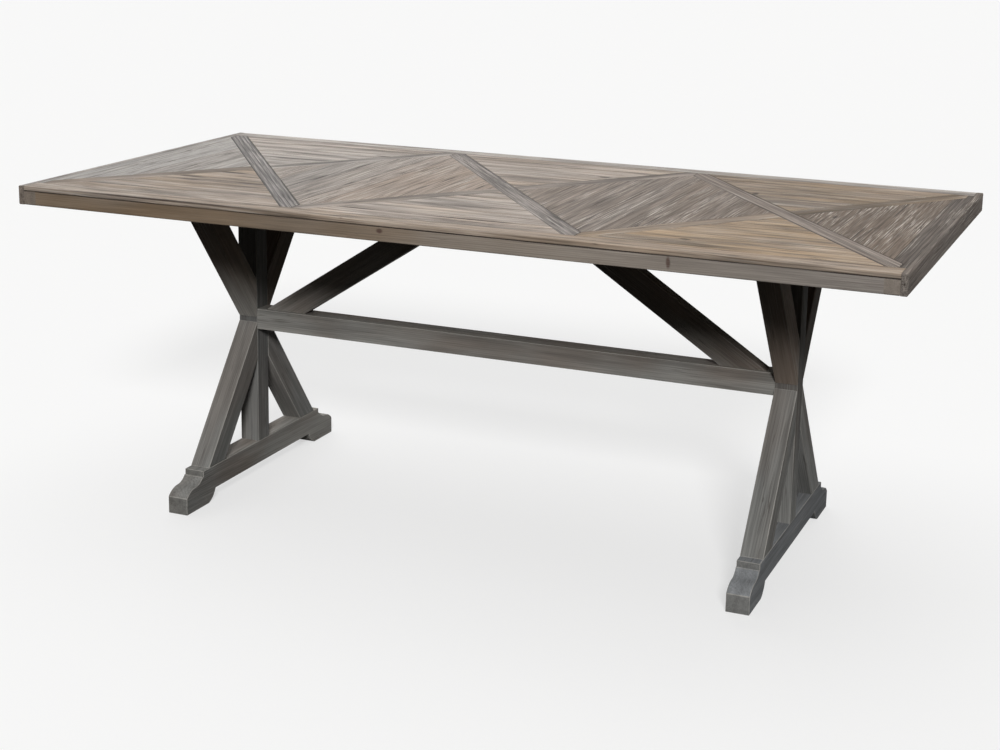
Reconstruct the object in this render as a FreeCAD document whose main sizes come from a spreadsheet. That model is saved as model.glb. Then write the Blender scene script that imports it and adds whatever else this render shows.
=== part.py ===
import FreeCAD, Part
import math
import os
import re
import Sketcher

# Sawbuck table: a parquet top with a three-panel inlay, carried on two crossed-leg trestles that a
# stretcher and two braces tie together. Millimetres. X runs along the table, Y across it, Z up,
# and the origin is on the floor under the middle of the top.

SIZES = {
    # the top
    "table_height": 762.0,
    "top_length": 1960.0,
    "top_width": 940.0,
    "skin_thickness": 10.0,      # the inlaid face boards
    "core_thickness": 32.0,      # the panel and the lippings under them
    "end_strip": 14.0,           # the strip across each end, as thick as the whole top
    "lipping_width": 30.0,
    "border_width": 50.0,
    "end_border_rim": 12.0,      # the board at each end of the inlay, beyond the bands' ends
    "spine_width": 48.0,         # the straight strip between two inlaid panels
    "band_width": 45.0,          # the diagonal strips
    "board_width": 86.0,         # the boards that fill the triangles
    "long_base_board": 65.0,     # the first board of a triangle along the table
    "cross_base_board": 88.0,    # the first board of a triangle across the table
    "edge_round": 2.5,           # worn outer edges of the top
    # the trestles
    "end_overhang": 316.0,       # from the end of the top to the middle of a trestle
    "post_width": 50.0,
    "leg_thickness": 50.0,
    "leg_depth": 58.0,
    "waist_height": 392.5,       # middle of the bare face of the post between the leg toes
    "waist_face": 11.0,
    "upper_splay": 504.0,        # across the upper legs, where they meet the rail
    "lower_splay": 508.0,        # across the lower legs, where they meet the foot
    "rail_length": 600.0,
    "rail_width": 60.0,
    "rail_thickness": 30.0,
    # the feet
    "foot_length": 700.0,
    "foot_width": 50.0,
    "foot_height": 85.0,
    "foot_relief": 29.0,         # how far the middle of the foot stands off the floor
    "pad_flat": 93.0,            # the flat of each pad that stands on the floor
    "pad_length": 124.0,         # the pad with its curved inner side
    "pad_curve_radius": 50.0,
    "tip_height": 40.0,          # the upright end of the foot
    "crest_height": 57.0,        # where the hollow of the ogee turns into its round
    "round_length": 38.0,        # the round of the ogee, measured along the foot
    "ogee_length": 68.0,
    "ogee_height": 72.0,
    "quirk_width": 4.0,          # the little flat above the ogee
    # the stretcher, the braces and the middle cleat
    "stretcher_width": 50.0,
    "stretcher_depth": 50.0,
    "stretcher_drop": 23.5,      # from the waist down to the stretcher's underside
    "brace_thickness": 36.0,
    "brace_depth": 57.0,
    "brace_heel_gap": 22.0,      # from the post to the brace, along the stretcher
    "brace_head_reach": 203.0,   # from the middle of the table to the brace's outer top corner
    "cleat_length": 440.0,
    "cleat_width": 90.0,
    "cleat_thickness": 30.0,
    # the joints
    "tenon_width": 26.0,
    "post_tenon_length": 20.0,
    "stretcher_tenon_length": 30.0,
    "stretcher_tenon_shoulder": 7.0,
    "key_thickness": 12.0,       # the loose tenons that key the legs and braces to the frame
    "key_width": 38.0,
    "key_length": 45.0,
    "key_bite": 18.0,            # how deep a key sits in the piece that a leg or brace lands on
    "waist_key_rise": 60.0,      # from a leg's toe to the middle of its key in the post
    "splay_key_inset": 47.0,     # from a leg's outer corner to the key in the foot or rail
    "heel_key_inset": 72.0,
    "head_key_inset": 31.0,
    "screw_length": 48.0,
    "screw_diameter": 4.5,
    "screw_head_diameter": 9.0,
    "screw_head_height": 4.0,
    "rail_screw_inner": 110.0,
    "rail_screw_outer": 275.0,
    "cleat_screw_reach": 190.0,
    "cleat_screw_spread": 32.0,
    "glue_gap": 0.1,             # around a key, a tenon or a screw in its hole
}

# Values that follow from the sizes. Each is a formula, so the document stays parametric.
WORKED_OUT = {
    "skin_underside": "table_height - skin_thickness",
    "top_underside": "skin_underside - core_thickness",
    "rail_underside": "top_underside - rail_thickness",
    "cleat_underside": "top_underside - cleat_thickness",
    "half_length": "top_length / 2",
    "half_width": "top_width / 2",
    "strip_face": "half_length - end_strip",
    "half_spine": "spine_width / 2",
    "end_border_width": "end_border_rim + half_spine",
    "inlay_start": "strip_face - end_border_rim",
    "field_length": "2 * inlay_start / 3",      # to the middles of the spines
    "field_width": "top_width - 2 * border_width",
    "field_diagonal": "sqrt(field_length ^ 2 + field_width ^ 2)",
    "band_along": "band_width / 2 * field_diagonal / field_width",
    "band_across": "band_width / 2 * field_diagonal / field_length",
    "spine_point": "band_across + half_spine * field_width / field_length",
    "trestle_offset": "half_length - end_overhang",
    "half_post": "post_width / 2",
    "post_inner_face": "trestle_offset - half_post",
    "upper_toe": "waist_height + waist_face / 2",
    "lower_toe": "waist_height - waist_face / 2",
    "upper_run": "upper_splay / 2 - half_post",
    "upper_rise": "rail_underside - upper_toe",
    "upper_slant": "sqrt(upper_run ^ 2 + upper_rise ^ 2)",
    "lower_run": "lower_splay / 2 - half_post",
    "lower_rise": "lower_toe - foot_height",
    "lower_slant": "sqrt(lower_run ^ 2 + lower_rise ^ 2)",
    "half_foot": "foot_length / 2",
    "foot_shoulder": "half_foot - ogee_length - quirk_width",
    "stretcher_underside": "waist_height - stretcher_drop",
    "stretcher_top": "stretcher_underside + stretcher_depth",
    "brace_heel": "post_inner_face - brace_heel_gap",
    "brace_run": "brace_heel - brace_head_reach",
    "brace_rise": "cleat_underside - stretcher_top",
    "brace_cut": "brace_depth * sqrt(brace_run ^ 2 + brace_rise ^ 2) / brace_rise",
}

SIDES = (("front", "-"), ("back", ""))
ENDS = (("left", "-"), ("right", ""))
FIELD_COUNT = 3
QUARTER_TURN = 90
SMALLEST_TIP = 0.25    # a narrower tip, in boards, is made in one with the board below it

# The outlines of a spine, from the near end of its middle line, and of the board at the left end
# of the inlay. The bands' edges cut both of them slantwise.
SPINE_CORNERS = (("0", "band_across"), ("half_spine", "spine_point"),
                 ("half_spine", "field_width - spine_point"), ("0", "field_width - band_across"),
                 ("-half_spine", "field_width - spine_point"), ("-half_spine", "spine_point"))
END_BORDER_CORNERS = (("0", "0"), ("end_border_rim", "0"), ("end_border_rim", "band_across"),
                      ("end_border_width", "spine_point"),
                      ("end_border_width", "field_width - spine_point"),
                      ("end_border_rim", "field_width - band_across"),
                      ("end_border_rim", "field_width"), ("0", "field_width"))

doc = FreeCAD.newDocument("SawbuckTable")
sheet = doc.addObject("Spreadsheet::Sheet", "Sheet")
for row, (alias, value) in enumerate(SIZES.items(), start=1):
    sheet.set(f"A{row}", alias)
    sheet.set(f"B{row}", str(value))
    sheet.setAlias(f"B{row}", alias)
doc.recompute()


# ---------------------------------------------------------------- formulas and small builders

def formula(text):
    """The text as a FreeCAD expression: sizes become sheet cells, worked-out values are opened up."""
    def swap(word):
        name = word.group(0)
        if name in WORKED_OUT:
            return f"({formula(WORKED_OUT[name])})"
        return f"Sheet.{name}" if name in SIZES else name
    return re.sub(r"[a-z][a-z_]+", swap, text)


def number(text):
    """The value of a formula in this document."""
    return float(sheet.evalExpression(formula(text)))


def tie(thing, **formulas):
    """Binds properties of a thing to formulas."""
    for name, text in formulas.items():
        thing.setExpression(name, formula(text))


def place(thing, x, y, z):
    """Binds a thing's place to formulas."""
    for axis, text in zip("xyz", (x, y, z)):
        thing.setExpression(f"Placement.Base.{axis}", formula(text))


def make(kind, label):
    """A new object with its own label."""
    thing = doc.addObject(kind, label)
    thing.Label = label
    return thing


def box(label, corner, size):
    """A rectangular block from its lowest corner."""
    block = make("Part::Box", label)
    tie(block, Length=size[0], Width=size[1], Height=size[2])
    place(block, *corner)
    return block


def group(label, things):
    """Several separate solids in one object."""
    bundle = make("Part::Compound", label)
    bundle.Links = things
    return bundle


def fused(label, things):
    """Several blocks joined into one piece."""
    whole = make("Part::MultiFuse", label)
    whole.Shapes = things
    whole.Refine = True
    return whole


def cut(label, stock, tools):
    """A piece with holes and mortises taken out of it."""
    piece = make("Part::Cut", label)
    piece.Base = stock
    piece.Tool = group(f"{label}_cutters", tools)
    return piece


def origin_plane(body, role):
    """One of a body's own origin planes."""
    return next(part for part in body.Origin.OriginFeatures if part.Role == role)


def arc_between(start, end, centre):
    """The shorter arc from start to end, and whether it runs that way or backwards."""
    angles = [math.atan2(point.y - centre.y, point.x - centre.x) for point in (start, end)]
    forwards = (angles[1] - angles[0]) % math.tau < math.pi
    first, last = angles if forwards else reversed(angles)
    circle = Part.Circle(centre, FreeCAD.Vector(0, 0, 1), start.distanceToPoint(centre))
    return Part.ArcOfCircle(circle, first, last), forwards


def arc_centre(start, end, bend):
    """The centre of an arc: level with a given X, or at a given radius to the left of its way."""
    if "centre_x" in bend:
        x = number(bend["centre_x"])
        rise = (end.x - x) ** 2 + end.y ** 2 - (start.x - x) ** 2 - start.y ** 2
        return FreeCAD.Vector(x, rise / (2 * (end.y - start.y)), 0)
    chord = end - start
    offset = math.sqrt(number(bend["radius"]) ** 2 - chord.Length ** 2 / 4)
    left = FreeCAD.Vector(-chord.y, chord.x, 0).normalize()
    return start + chord * 0.5 + left * offset


def profile(body, role, corners):
    """A closed, fully constrained sketch. Each corner is two formulas, and a third item bends the
    edge that starts there into an arc."""
    sketch = body.newObject("Sketcher::SketchObject", f"{body.Name}_profile")
    sketch.AttachmentSupport = [(origin_plane(body, role), "")]
    sketch.MapMode = "FlatFace"
    points = [FreeCAD.Vector(number(corner[0]), number(corner[1]), 0) for corner in corners]
    ends = []
    for i, corner in enumerate(corners):
        start, end = points[i], points[(i + 1) % len(points)]
        if len(corner) == 2:
            sketch.addGeometry(Part.LineSegment(start, end))
            ends.append((1, 2))
            continue
        arc, forwards = arc_between(start, end, arc_centre(start, end, corner[2]))
        sketch.addGeometry(arc)
        ends.append((1, 2) if forwards else (2, 1))
    for i in range(len(corners)):
        after = (i + 1) % len(corners)
        sketch.addConstraint(Sketcher.Constraint("Coincident", i, ends[i][1], after, ends[after][0]))
    for i, corner in enumerate(corners):
        for kind, value, text in (("DistanceX", points[i].x, corner[0]),
                                  ("DistanceY", points[i].y, corner[1])):
            pin_down(sketch, Sketcher.Constraint(kind, -1, 1, i, ends[i][0], value), text)
        if len(corner) == 3 and "centre_x" in corner[2]:
            text = corner[2]["centre_x"]
            pin_down(sketch, Sketcher.Constraint("DistanceX", -1, 1, i, 3, number(text)), text)
        elif len(corner) == 3:
            text = corner[2]["radius"]
            pin_down(sketch, Sketcher.Constraint("Radius", i, number(text)), text)
    return sketch


def pin_down(sketch, constraint, text):
    """Adds a constraint whose value follows a formula."""
    index = sketch.addConstraint(constraint)
    sketch.setExpression(f"Constraints[{index}]", formula(text))


def extruded(label, role, corners, depth):
    """A body padded to both sides of one of its planes."""
    body = make("PartDesign::Body", label)
    sketch = profile(body, role, corners)
    pad = body.newObject("PartDesign::Pad", f"{label}_pad")
    pad.Profile = sketch
    pad.Midplane = True
    tie(pad, Length=depth)
    body.Tip = pad
    return body


# ---------------------------------------------------------------- the top

def lower_layer(screw_holes):
    """The panel that carries the inlay, with solid lippings round it."""
    core = box("core_blank",
               ("-strip_face + lipping_width", "-half_width + lipping_width", "top_underside"),
               ("2 * (strip_face - lipping_width)", "top_width - 2 * lipping_width",
                "core_thickness"))
    nodes = [cut("core_panel", core, screw_holes)]
    for side, sign in SIDES:
        section = edge_profile(f"{sign}half_width", f"{sign}(half_width - lipping_width)",
                               "skin_underside", "top_underside")
        nodes.append(extruded(f"lipping_{side}", "YZ_Plane", section,
                              "2 * (strip_face - lipping_width)"))
    for end, sign in ENDS:
        start = "strip_face - lipping_width" if sign == "" else "-strip_face"
        nodes.append(box(f"lipping_{end}", (start, "-half_width", "top_underside"),
                         ("lipping_width", "top_width", "core_thickness")))
    return nodes


def borders():
    """The straight boards that frame the inlay. The long ones run through to the end strips."""
    nodes = []
    for side, sign in SIDES:
        section = edge_profile(f"{sign}half_width", f"{sign}(half_width - border_width)",
                               "skin_underside", "table_height")
        nodes.append(extruded(f"border_{side}", "YZ_Plane", section, "2 * strip_face"))
    for end, sign in ENDS:
        board = flat_board(f"border_{end}", END_BORDER_CORNERS)
        turned(board, f"{sign}strip_face", f"{sign}field_width / 2", 2 if sign == "" else 0)
        nodes.append(board)
    return nodes


def end_strips():
    """The strips that cover both layers at the ends, rounded along their outer edges."""
    nodes = []
    for end, sign in ENDS:
        away, inward = (sign, "-") if sign == "" else (sign, "+")
        outer = f"{away}half_length"
        eased = f"{outer} {inward} edge_round"
        bend = {"centre_x": eased}
        upper = [(outer, "table_height - edge_round"), (eased, "table_height")]
        lower = [(eased, "top_underside"), (outer, "top_underside + edge_round")]
        inner = [(f"{away}strip_face", "table_height"), (f"{away}strip_face", "top_underside")]
        if sign == "":
            section = [upper[0] + (bend,), upper[1]] + inner + [lower[0] + (bend,), lower[1]]
        else:
            section = [lower[1] + (bend,), lower[0]] + inner[::-1] + [upper[1] + (bend,), upper[0]]
        nodes.append(extruded(f"end_strip_{end}", "XZ_Plane", section, "top_width"))
    return nodes


def edge_profile(outer, inner, joint_level, outer_level):
    """A board's section whose outer corner is rounded at the level that faces out."""
    inward = "+" if outer.startswith("-") else "-"
    up = number(outer_level) > number(joint_level)
    eased = f"{outer} {inward} edge_round"
    side_end = (outer, f"{outer_level} {'-' if up else '+'} edge_round")
    flat_end = (eased, outer_level)
    bend = {"centre_x": eased}
    if up == (inward == "-"):
        return [(inner, joint_level), (outer, joint_level), side_end + (bend,), flat_end,
                (inner, outer_level)]
    return [(inner, outer_level), flat_end + (bend,), side_end, (outer, joint_level),
            (inner, joint_level)]


def inlay():
    """Three panels, each with one whole diagonal band, two half bands and four boarded triangles,
    and the spines between the panels. The bands run on to the middles of the spines, which are
    pointed where they meet them."""
    nodes = []
    for i in range(FIELD_COUNT):
        left = f"-inlay_start + {i} * field_length"
        nodes += [long_band(f"band_{i + 1}_long", left),
                  half_band(f"band_{i + 1}_near", left, 0),
                  half_band(f"band_{i + 1}_far", left, 2)]
        for turn, side in enumerate(("near", "right", "far", "left")):
            nodes.append(boarded_triangle(f"boards_{i + 1}_{side}", left, turn))
        if i < FIELD_COUNT - 1:
            spine = flat_board(f"spine_{i + 1}", SPINE_CORNERS)
            turned(spine, f"{left} + field_length", "-field_width / 2", 0)
            nodes.append(spine)
    return nodes


def turned(thing, x, y, turn):
    """Turns a piece of the skin by quarter turns and sets its starting corner down at a place."""
    thing.Placement.Rotation = FreeCAD.Rotation(FreeCAD.Vector(0, 0, 1), turn * QUARTER_TURN)
    place(thing, x, y, "skin_underside")


def turned_field(thing, left, turn, inset="0"):
    """Turns a piece that is drawn from the near left corner of a panel by quarter turns, so that
    it starts from another of the panel's corners, or an inset away from it along the table."""
    x = f"{left} + field_length - {inset}" if turn in (1, 2) else f"{left} + {inset}"
    y = "field_width / 2" if turn in (2, 3) else "-field_width / 2"
    turned(thing, x, y, turn)


def flat_board(label, corners):
    """A board of the skin, padded upwards from its underside."""
    body = make("PartDesign::Body", label)
    sketch = profile(body, "XY_Plane", corners)
    pad = body.newObject("PartDesign::Pad", f"{label}_pad")
    pad.Profile = sketch
    tie(pad, Length="skin_thickness")
    body.Tip = pad
    return body


def long_band(label, left):
    """The band from the far left to the near right corner of a panel."""
    corners = [("field_length - band_along", "0"), ("field_length", "0"),
               ("field_length", "band_across"), ("band_along", "field_width"),
               ("0", "field_width"), ("0", "field_width - band_across")]
    band = flat_board(label, corners)
    turned_field(band, left, 0)
    return band


def half_band(label, left, turn):
    """The band from a corner of a panel to the side of the long band."""
    corners = [("0", "0"), ("band_along", "0"),
               ("field_length / 2", "field_width / 2 - band_across"),
               ("field_length / 2 - band_along", "field_width / 2"), ("0", "band_across")]
    band = flat_board(label, corners)
    turned_field(band, left, turn)
    return band


def boarded_triangle(label, left, turn):
    """A triangle of boards that lie along its base, each one shorter than the last."""
    sideways = turn % 2 == 1
    base = "field_width" if sideways else "field_length"
    first = "cross_base_board" if sideways else "long_base_board"
    inset = "half_spine" if sideways else "0"
    start = "spine_point" if sideways else "band_along"
    lean = "field_width / field_length" if sideways else "field_length / field_width"
    height = "(field_length / 2 - half_spine - band_along)" if sideways else \
        "(field_width / 2 - band_across)"
    count = 1 + math.ceil(number(f"({height} - {first}) / board_width") - SMALLEST_TIP)
    levels = ["0"] + [f"({first} + {i} * board_width)" for i in range(count - 1)] + [height]
    boards = []
    for i, (low, high) in enumerate(zip(levels, levels[1:]), start=1):
        board = make("Part::Wedge", f"{label}_{i}")
        tip = i == count
        tie(board, Ymin=low, Ymax=high, Zmin="0", Z2min="0",
            Zmax="skin_thickness", Z2max="skin_thickness",
            Xmin=f"{start} + {low} * {lean}",
            Xmax=f"{base} - {start} - {low} * {lean}",
            X2min=f"{base} / 2" if tip else f"{start} + {high} * {lean}",
            X2max=f"{base} / 2" if tip else f"{base} - {start} - {high} * {lean}")
        boards.append(board)
    triangle = group(label, boards)
    turned_field(triangle, left, turn, inset)
    return triangle


# ---------------------------------------------------------------- joints

def key_and_slot(label, joint, direction, wide_along):
    """A loose tenon across a joint, starting in the piece that is landed on, and the slot for it.
    It is as wide as the joint lets it be along one axis and thin along the one left over."""
    solids = []
    for kind, spare in (("key", "0"), ("slot", "glue_gap")):
        corner, size = [], []
        for axis, text in zip("xyz", joint):
            if axis == direction[1]:
                back = "key_bite" if direction[0] == "+" else "(key_length - key_bite)"
                span = "key_length"
            else:
                span = "key_width" if axis == wide_along else "key_thickness"
                back = f"{span} / 2"
            corner.append(f"{text} - {back} - {spare}")
            size.append(f"{span} + 2 * {spare}")
        solids.append(box(f"{kind}_{label}", corner, size))
    return solids


def screw_and_hole(label, x, y, underside):
    """A countersunk screw driven up into the core, and the hole it needs."""
    solids = []
    for kind, spare in (("screw", "0"), ("bore", "glue_gap")):
        head = make("Part::Cone", f"{kind}_head_{label}")
        tie(head, Radius1=f"screw_head_diameter / 2 + {spare}",
            Radius2=f"screw_diameter / 2 + {spare}", Height="screw_head_height")
        place(head, x, y, underside)
        shank = make("Part::Cylinder", f"{kind}_shank_{label}")
        tie(shank, Radius=f"screw_diameter / 2 + {spare}",
            Height=f"screw_length - screw_head_height + {spare}")
        place(shank, x, y, f"{underside} + screw_head_height")
        solids.append(fused(f"{kind}_{label}", [head, shank]))
    return solids


# ---------------------------------------------------------------- the trestles

def trestle(side, sign):
    """One end frame: a foot, a post, four legs and the rail that the top is screwed to."""
    x = f"{sign} trestle_offset"
    keys = []
    slots = {name: [] for name in ("foot", "post", "rail")}
    nodes = []
    for end, across in (("front", "-"), ("back", "+")):
        for tier in ("upper", "lower"):
            legs_slots = []
            rise = "+" if tier == "upper" else "-"
            landing = "rail" if tier == "upper" else "foot"
            level = "rail_underside" if tier == "upper" else "foot_height"
            joints = (("post", (x, f"{across} half_post",
                                f"{tier}_toe {rise} waist_key_rise"), f"{across}y", "z"),
                      (landing, (x, f"{across} ({tier}_splay / 2 - splay_key_inset)", level),
                       "-z" if tier == "upper" else "+z", "y"))
            for piece, joint, direction, wide_along in joints:
                key, slot = key_and_slot(f"{side}_{end}_{tier}_{piece}", joint, direction,
                                         wide_along)
                keys.append(key)
                slots[piece].append(slot)
                legs_slots.append(slot)
            leg = leg_blank(f"leg_blank_{side}_{tier}_{end}", tier, across, level, rise)
            place(leg, x, "0", "0")
            nodes.append(cut(f"leg_{side}_{tier}_{end}", leg, legs_slots))
    inward = "-" if sign == "+" else "+"
    nodes.append(post(side, x, inward, slots["post"]))
    nodes.append(foot(side, x, slots["foot"]))
    rail, screws, bores = top_rail(side, x, slots["rail"])
    nodes.append(rail)
    return nodes, keys, screws, bores


def leg_blank(label, tier, across, level, rise):
    """A slanting leg, cut plumb against the post and level where it lands. Its toe is at the
    waist and its outer edge runs straight to the splay."""
    level_cut = f"leg_depth * {tier}_slant / {tier}_rise"
    plumb_cut = f"leg_depth * {tier}_slant / {tier}_run"
    corners = [(f"{across} half_post", f"{tier}_toe"),
               (f"{across} {tier}_splay / 2", level),
               (f"{across} ({tier}_splay / 2 - {level_cut})", level),
               (f"{across} half_post", f"{tier}_toe {rise} {plumb_cut}")]
    return extruded(label, "YZ_Plane", corners, "leg_thickness")


def tenon(label, x, z, length):
    """A square tenon on the end of the post, or with some spare the mortise for it."""
    return box(label, (f"{x} - {length[1]} / 2", f"-{length[1]} / 2", z),
               (length[1], length[1], length[0]))


def post(side, x, inward, slots):
    """The upright between the foot and the rail, with a tenon at each end."""
    shaft = box(f"post_shaft_{side}", (f"{x} - half_post", "-half_post", "foot_height"),
                ("post_width", "post_width", "rail_underside - foot_height"))
    ends = [tenon(f"post_tenon_{side}_foot", x, "foot_height - post_tenon_length",
                  ("post_tenon_length", "tenon_width")),
            tenon(f"post_tenon_{side}_rail", x, "rail_underside",
                  ("post_tenon_length", "tenon_width"))]
    blank = fused(f"post_blank_{side}", [shaft] + ends)
    return cut(f"post_{side}", blank,
               slots + [stretcher_end(f"mortise_{side}", inward, "glue_gap")])


def stretcher_end(label, inward, spare):
    """The tenon at one end of the stretcher, or with some spare the mortise in the post."""
    length = f"(stretcher_tenon_length + {spare})"
    start = "post_inner_face" if inward == "-" else f"-post_inner_face - {length}"
    return box(label, (start, f"-tenon_width / 2 - {spare}",
                       f"stretcher_underside + stretcher_tenon_shoulder - {spare}"),
               (length, f"tenon_width + 2 * {spare}",
                f"stretcher_depth - 2 * stretcher_tenon_shoulder + 2 * {spare}"))


def foot(side, x, slots):
    """The foot: a beam on two pads, with an ogee worked on each end."""
    ends = {}
    for sign in ("", "-"):
        ends[sign] = {
            "sole": (f"{sign}(half_foot - pad_flat)", "0"),
            "arch": (f"{sign}(half_foot - pad_length)", "foot_relief"),
            "toe": (f"{sign}half_foot", "0"),
            "tip": (f"{sign}half_foot", "tip_height"),
            "crest": (f"{sign}(half_foot - round_length)", "crest_height"),
            "ogee": (f"{sign}(half_foot - ogee_length)", "ogee_height"),
            "quirk": (f"{sign}foot_shoulder", "ogee_height"),
            "ledge": (f"{sign}foot_shoulder", "foot_height"),
        }
    right, left = ends[""], ends["-"]
    pad_bend = {"radius": "pad_curve_radius"}
    right_bend = {"centre_x": right["crest"][0]}
    left_bend = {"centre_x": left["crest"][0]}
    corners = [left["toe"], left["sole"] + (pad_bend,), left["arch"],
               right["arch"] + (pad_bend,), right["sole"],
               right["toe"], right["tip"] + (right_bend,), right["crest"] + (right_bend,),
               right["ogee"], right["quirk"], right["ledge"],
               left["ledge"], left["quirk"], left["ogee"] + (left_bend,),
               left["crest"] + (left_bend,), left["tip"]]
    blank = extruded(f"foot_blank_{side}", "YZ_Plane", corners, "foot_width")
    place(blank, x, "0", "0")
    mortise = tenon(f"foot_mortise_{side}", x, "foot_height - post_tenon_length - glue_gap",
                    ("(post_tenon_length + glue_gap)", "(tenon_width + 2 * glue_gap)"))
    return cut(f"foot_{side}", blank, slots + [mortise])


def top_rail(side, x, slots):
    """The rail across the top of a trestle, screwed up into the core."""
    blank = box(f"rail_blank_{side}", (f"{x} - rail_width / 2", "-rail_length / 2",
                                       "rail_underside"),
                ("rail_width", "rail_length", "rail_thickness"))
    mortise = tenon(f"rail_mortise_{side}", x, "rail_underside",
                    ("(post_tenon_length + glue_gap)", "(tenon_width + 2 * glue_gap)"))
    screws, bores = [], []
    for i, y in enumerate(("-rail_screw_outer", "-rail_screw_inner", "rail_screw_inner",
                           "rail_screw_outer")):
        screw, bore = screw_and_hole(f"rail_{side}_{i + 1}", x, y, "rail_underside")
        screws.append(screw)
        bores.append(bore)
    rail = cut(f"rail_{side}", blank, slots + [mortise] + bores)
    return rail, screws, bores


# ---------------------------------------------------------------- between the trestles

def stretcher(slots):
    """The bar that ties the posts together, tenoned into both."""
    bar = box("stretcher_bar", ("-post_inner_face", "-stretcher_width / 2",
                                "stretcher_underside"),
              ("2 * post_inner_face", "stretcher_width", "stretcher_depth"))
    ends = [stretcher_end("stretcher_tenon_right", "-", "0"),
            stretcher_end("stretcher_tenon_left", "+", "0")]
    blank = fused("stretcher_blank", [bar] + ends)
    return cut("stretcher", blank, slots)


def brace(side, sign, slots):
    """A brace from the stretcher, beside the post, up to the cleat under the middle."""
    corners = [(f"{sign} brace_heel", "stretcher_top"),
               (f"{sign} brace_head_reach", "cleat_underside"),
               (f"{sign} (brace_head_reach - brace_cut)", "cleat_underside"),
               (f"{sign} (brace_heel - brace_cut)", "stretcher_top")]
    blank = extruded(f"brace_blank_{side}", "XZ_Plane", corners, "brace_thickness")
    return cut(f"brace_{side}", blank, slots)


def middle():
    """The stretcher, the two braces and the cleat that their heads meet."""
    keys, heel_slots, head_slots, nodes = [], [], [], []
    for side, sign in (("left", "-"), ("right", "+")):
        heel, heel_slot = key_and_slot(
            f"heel_{side}", (f"{sign} (brace_heel - heel_key_inset)", "0", "stretcher_top"),
            "+z", "x")
        head, head_slot = key_and_slot(
            f"head_{side}", (f"{sign} (brace_head_reach - head_key_inset)", "0",
                             "cleat_underside"), "-z", "x")
        keys += [heel, head]
        heel_slots.append(heel_slot)
        head_slots.append(head_slot)
        nodes.append(brace(side, sign, [heel_slot, head_slot]))
    nodes.append(stretcher(heel_slots))
    blank = box("cleat_blank", ("-cleat_length / 2", "-cleat_width / 2", "cleat_underside"),
                ("cleat_length", "cleat_width", "cleat_thickness"))
    screws, bores = [], []
    for i, (x, y) in enumerate(((x, y) for x in ("-", "") for y in ("-", ""))):
        screw, bore = screw_and_hole(f"cleat_{i + 1}", f"{x}cleat_screw_reach",
                                     f"{y}cleat_screw_spread", "cleat_underside")
        screws.append(screw)
        bores.append(bore)
    nodes.append(cut("middle_cleat", blank, head_slots + bores))
    return nodes, keys, screws, bores


# ---------------------------------------------------------------- the table

left_nodes, left_keys, left_screws, left_bores = trestle("left", "-")
right_nodes, right_keys, right_screws, right_bores = trestle("right", "+")
middle_nodes, middle_keys, middle_screws, middle_bores = middle()
nodes = left_nodes + right_nodes + middle_nodes
nodes.append(group("loose_tenons", left_keys + right_keys + middle_keys))
nodes.append(group("screws", left_screws + right_screws + middle_screws))
nodes += lower_layer(left_bores + right_bores + middle_bores)
nodes += borders() + end_strips() + inlay()
doc.recompute()

for thing in doc.Objects:
    if "Invalid" in thing.State or "Error" in thing.State:
        raise RuntimeError(f"{thing.Label} did not build: {thing.State}")
for node in nodes:
    if node.Shape.isNull() or not node.Shape.isValid() or not node.Shape.Solids:
        raise RuntimeError(f"{node.Label} is not a sound solid")

os.makedirs("parts", exist_ok=True)
for node in nodes:
    node.Shape.exportStep(f"parts/{node.Label}.step")
volume = sum(node.Shape.Volume for node in nodes)
print(f"{len(nodes)} nodes, {sum(len(node.Shape.Solids) for node in nodes)} solids, "
      f"{volume / 1e6:.2f} litres")
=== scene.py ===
# %% [markdown]
# # A sawbuck table in weathered pine
#
# The table is a parquet top on two trestles. Each trestle has a post, four slanting legs, a foot and
# a rail, and a stretcher with two braces ties the trestles together. The construction is already
# drawn to size, so this lesson only dresses it: every stick of timber gets its worn edges, a grain
# that follows the stick, and a finish of its own.

# %% Load the table
import math
import random

import bmesh
import bpy
from mathutils import Matrix, Vector


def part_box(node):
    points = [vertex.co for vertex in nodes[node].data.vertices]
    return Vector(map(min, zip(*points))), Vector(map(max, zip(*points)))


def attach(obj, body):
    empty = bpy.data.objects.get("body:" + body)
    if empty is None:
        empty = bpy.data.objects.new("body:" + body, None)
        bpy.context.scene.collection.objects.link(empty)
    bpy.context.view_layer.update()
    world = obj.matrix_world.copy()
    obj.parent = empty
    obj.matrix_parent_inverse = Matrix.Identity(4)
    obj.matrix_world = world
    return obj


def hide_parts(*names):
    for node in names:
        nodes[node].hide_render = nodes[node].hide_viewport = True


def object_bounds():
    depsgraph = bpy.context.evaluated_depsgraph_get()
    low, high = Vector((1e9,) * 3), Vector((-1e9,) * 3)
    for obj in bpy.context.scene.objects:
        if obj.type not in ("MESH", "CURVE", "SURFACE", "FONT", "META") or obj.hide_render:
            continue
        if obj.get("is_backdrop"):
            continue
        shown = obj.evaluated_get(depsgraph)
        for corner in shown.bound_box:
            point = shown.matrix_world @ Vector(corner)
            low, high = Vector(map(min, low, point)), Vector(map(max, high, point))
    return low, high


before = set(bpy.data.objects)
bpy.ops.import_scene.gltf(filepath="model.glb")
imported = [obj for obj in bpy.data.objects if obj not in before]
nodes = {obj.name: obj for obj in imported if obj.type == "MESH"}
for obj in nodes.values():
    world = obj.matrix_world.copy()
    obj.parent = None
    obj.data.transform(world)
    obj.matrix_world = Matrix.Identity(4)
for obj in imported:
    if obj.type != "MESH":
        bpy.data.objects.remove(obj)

MM = 0.001


def corners():
    """The table's lowest and highest corner, as plain lists."""
    return [[round(value, 6) for value in corner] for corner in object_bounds()]


cad_box = corners()
print("pieces:", len(nodes), "box:", cad_box)

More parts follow.
